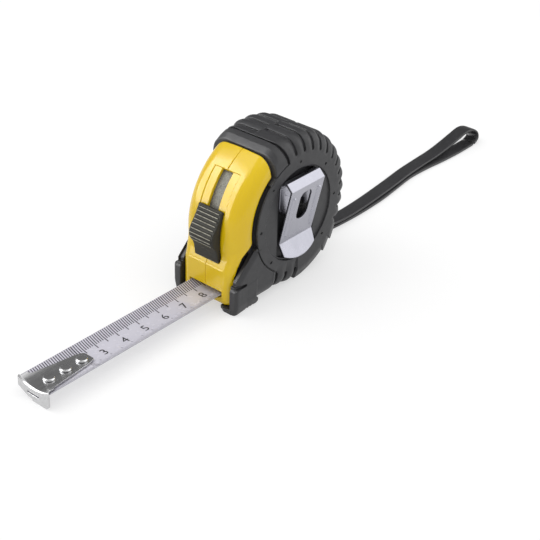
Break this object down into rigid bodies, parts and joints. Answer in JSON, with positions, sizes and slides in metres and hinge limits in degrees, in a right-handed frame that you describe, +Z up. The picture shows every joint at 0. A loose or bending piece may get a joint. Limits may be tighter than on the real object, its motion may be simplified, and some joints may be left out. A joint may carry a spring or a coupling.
{
  "type": "tape measure",
  "caption": "Pocket tape measure: rubber-clad case with a cupped steel blade, end hook, sliding blade lock, spring drum, belt clip and wrist strap.",
  "frame": {"origin": "on the ground directly under the drum's axle, in the middle of the case's width", "axes": "+Z up, the blade leaves towards -Y, the belt clip is on the +X side and the strap lies towards +Y"},
  "size_m": [0.0352, 0.2753, 0.0612],
  "materials": {
    "housing": "gloss moulded ABS, faint orange peel",
    "jacket": "satin moulded rubber",
    "steel": "zinc-plated, dull bright",
    "clip_steel": "satin sheet steel",
    "strap": "close woven nylon with a slight sheen",
    "blade": "pale enamel under clear coat",
    "drum": "moulded nylon",
    "spring": "blued spring steel",
    "button": "fine satin",
    "band": "dull zinc-plated strip",
    "pad": "matt rubber",
    "polished": "polished plate"
  },
  "bodies": {
    "case": {"housing_left": "housing", "housing_right": "housing", "jacket_left": "jacket", "jacket_right": "jacket", "axle_post": "steel", "belt_clip": "clip_steel", "clip_screw": "steel", "case_screw_1": "steel", "case_screw_2": "steel", "case_screw_3": "steel", "case_screw_4": "steel", "strap_pin": "steel", "strap": "strap", "blade": "blade", "blade_lead": "blade"},
    "drum": {"drum": "drum", "blade_coil": "blade", "power_spring": "spring"},
    "lock": {"lock_button": "button", "lock_band": "band", "brake_pad": "pad"},
    "blade_end": {"blade_tip": "blade", "rivet_1": "polished", "rivet_2": "polished", "rivet_3": "polished"},
    "hook": {"hook": "polished"}
  },
  "joints": [
    {"name": "drum_spin", "type": "hinge", "parent": "case", "child": "drum", "pos_m": [0, 0, 0.03], "axis": [1, 0, 0], "range_deg": [0, 213]},
    {"name": "blade_slide", "type": "slide", "parent": "case", "child": "blade_end", "axis": [0, 1, 0], "range_m": [0, 0.0792], "deforming": ["blade"]},
    {"name": "lock_slide", "type": "hinge", "parent": "case", "child": "lock", "pos_m": [0, 0.0005, 0.027], "axis": [-1, 0, 0], "range_deg": [0, 13]},
    {"name": "hook_play", "type": "slide", "parent": "blade_end", "child": "hook", "axis": [0, -1, 0], "range_m": [0, 0.0008]}
  ],
  "couplings": [
    {"joint": "blade_slide", "follows": "drum_spin", "m_per_rad": 0.0213}
  ]
}
